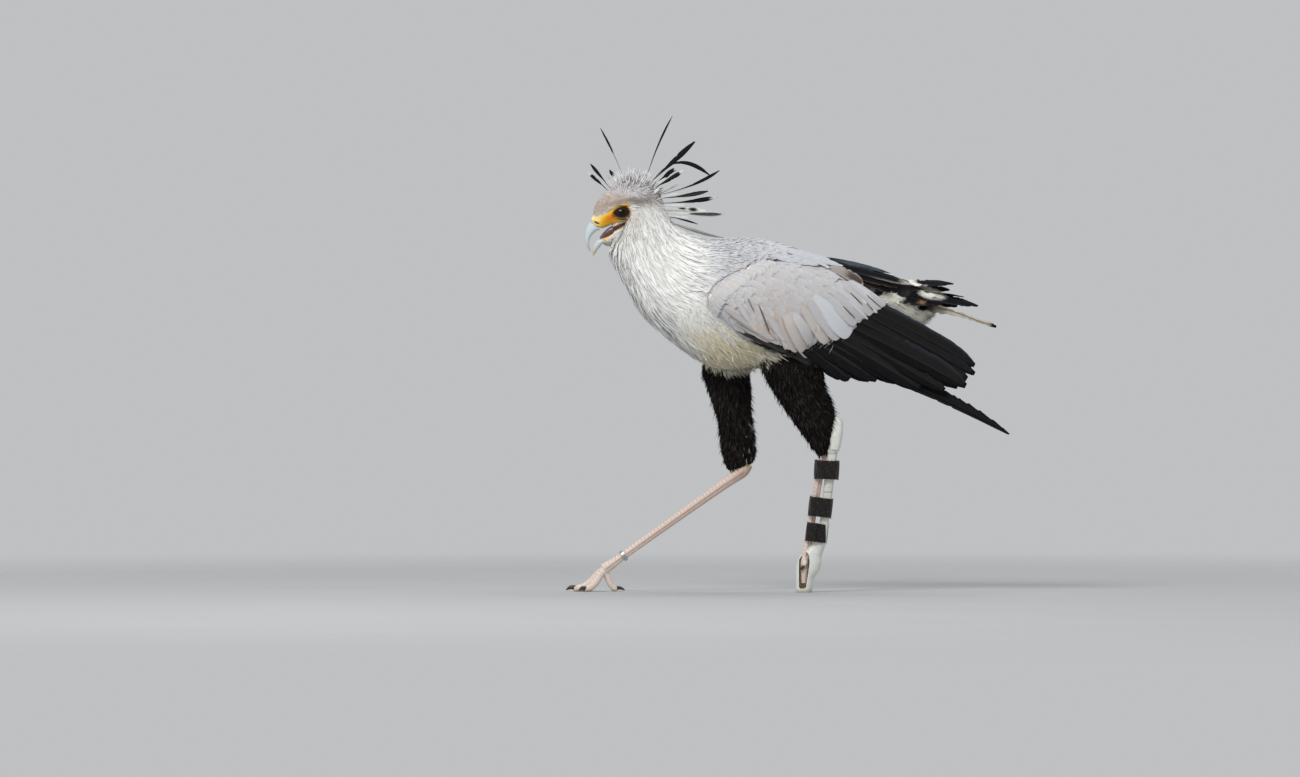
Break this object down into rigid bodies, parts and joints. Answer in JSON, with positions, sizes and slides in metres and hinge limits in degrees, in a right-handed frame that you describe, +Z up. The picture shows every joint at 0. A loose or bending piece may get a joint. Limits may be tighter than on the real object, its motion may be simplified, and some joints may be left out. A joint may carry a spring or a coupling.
{
  "type": "secretary bird model",
  "caption": "Life-size still model of a secretary bird in mid-stride, bill open and crest raised, with a splint boot on the left leg and a ring on the right.",
  "frame": {"origin": "the floor, under the middle of the whole bird's bounding box", "axes": "+Z up, the bill points to -X, the tail to +X, the bird's left side is -Y"},
  "size_m": [0.821, 0.212, 0.8811],
  "materials": {
    "plumage_grey": "pale ash-grey feathers, smooth and overlapping, matt",
    "plumage_white": "soft off-white hair-like feathers, cream below",
    "plume_black": "black feathers with a faint sheen and worn tips",
    "horn": "bluish-white horn, satin, beige at the tips",
    "tongue": "dark purple flesh, moist",
    "eye": "near-black brown eye, wet gloss",
    "leg_skin": "pinkish-white scaled skin, satin",
    "claw": "dark grey horn, worn",
    "splint_plastic": "white moulded plastic, slightly soiled",
    "strap": "black woven hook-and-loop strap, dusty edges",
    "ring_metal": "silvery leg ring, lightly worn"
  },
  "bodies": {
    "root": {"head": "plumage_grey", "crest": "plume_black", "neck": "plumage_white", "trunk": "plumage_grey", "rump": "plumage_white", "bill_upper": "horn", "bill_lower": "horn", "tongue": "tongue", "eye_left": "eye", "eye_right": "eye", "tail": "plume_black", "thigh_left": "plume_black", "thigh_right": "plume_black", "tarsus_left": "leg_skin", "tarsus_right": "leg_skin", "foot_left": "leg_skin", "foot_right": "leg_skin", "claw_left": "claw", "claw_right_inner": "claw", "claw_right_middle": "claw", "claw_right_outer": "claw", "claw_right_hind": "claw", "splint": "splint_plastic", "splint_strap_1": "strap", "splint_strap_2": "strap", "splint_strap_3": "strap", "leg_ring": "ring_metal", "wing_left": "plumage_grey", "wing_right": "plumage_grey", "secondaries_left": "plume_black", "secondaries_right": "plume_black", "primaries_left": "plume_black", "primaries_right": "plume_black", "tertials_left": "plume_black", "tertials_right": "plume_black"}
  },
  "joints": []
}
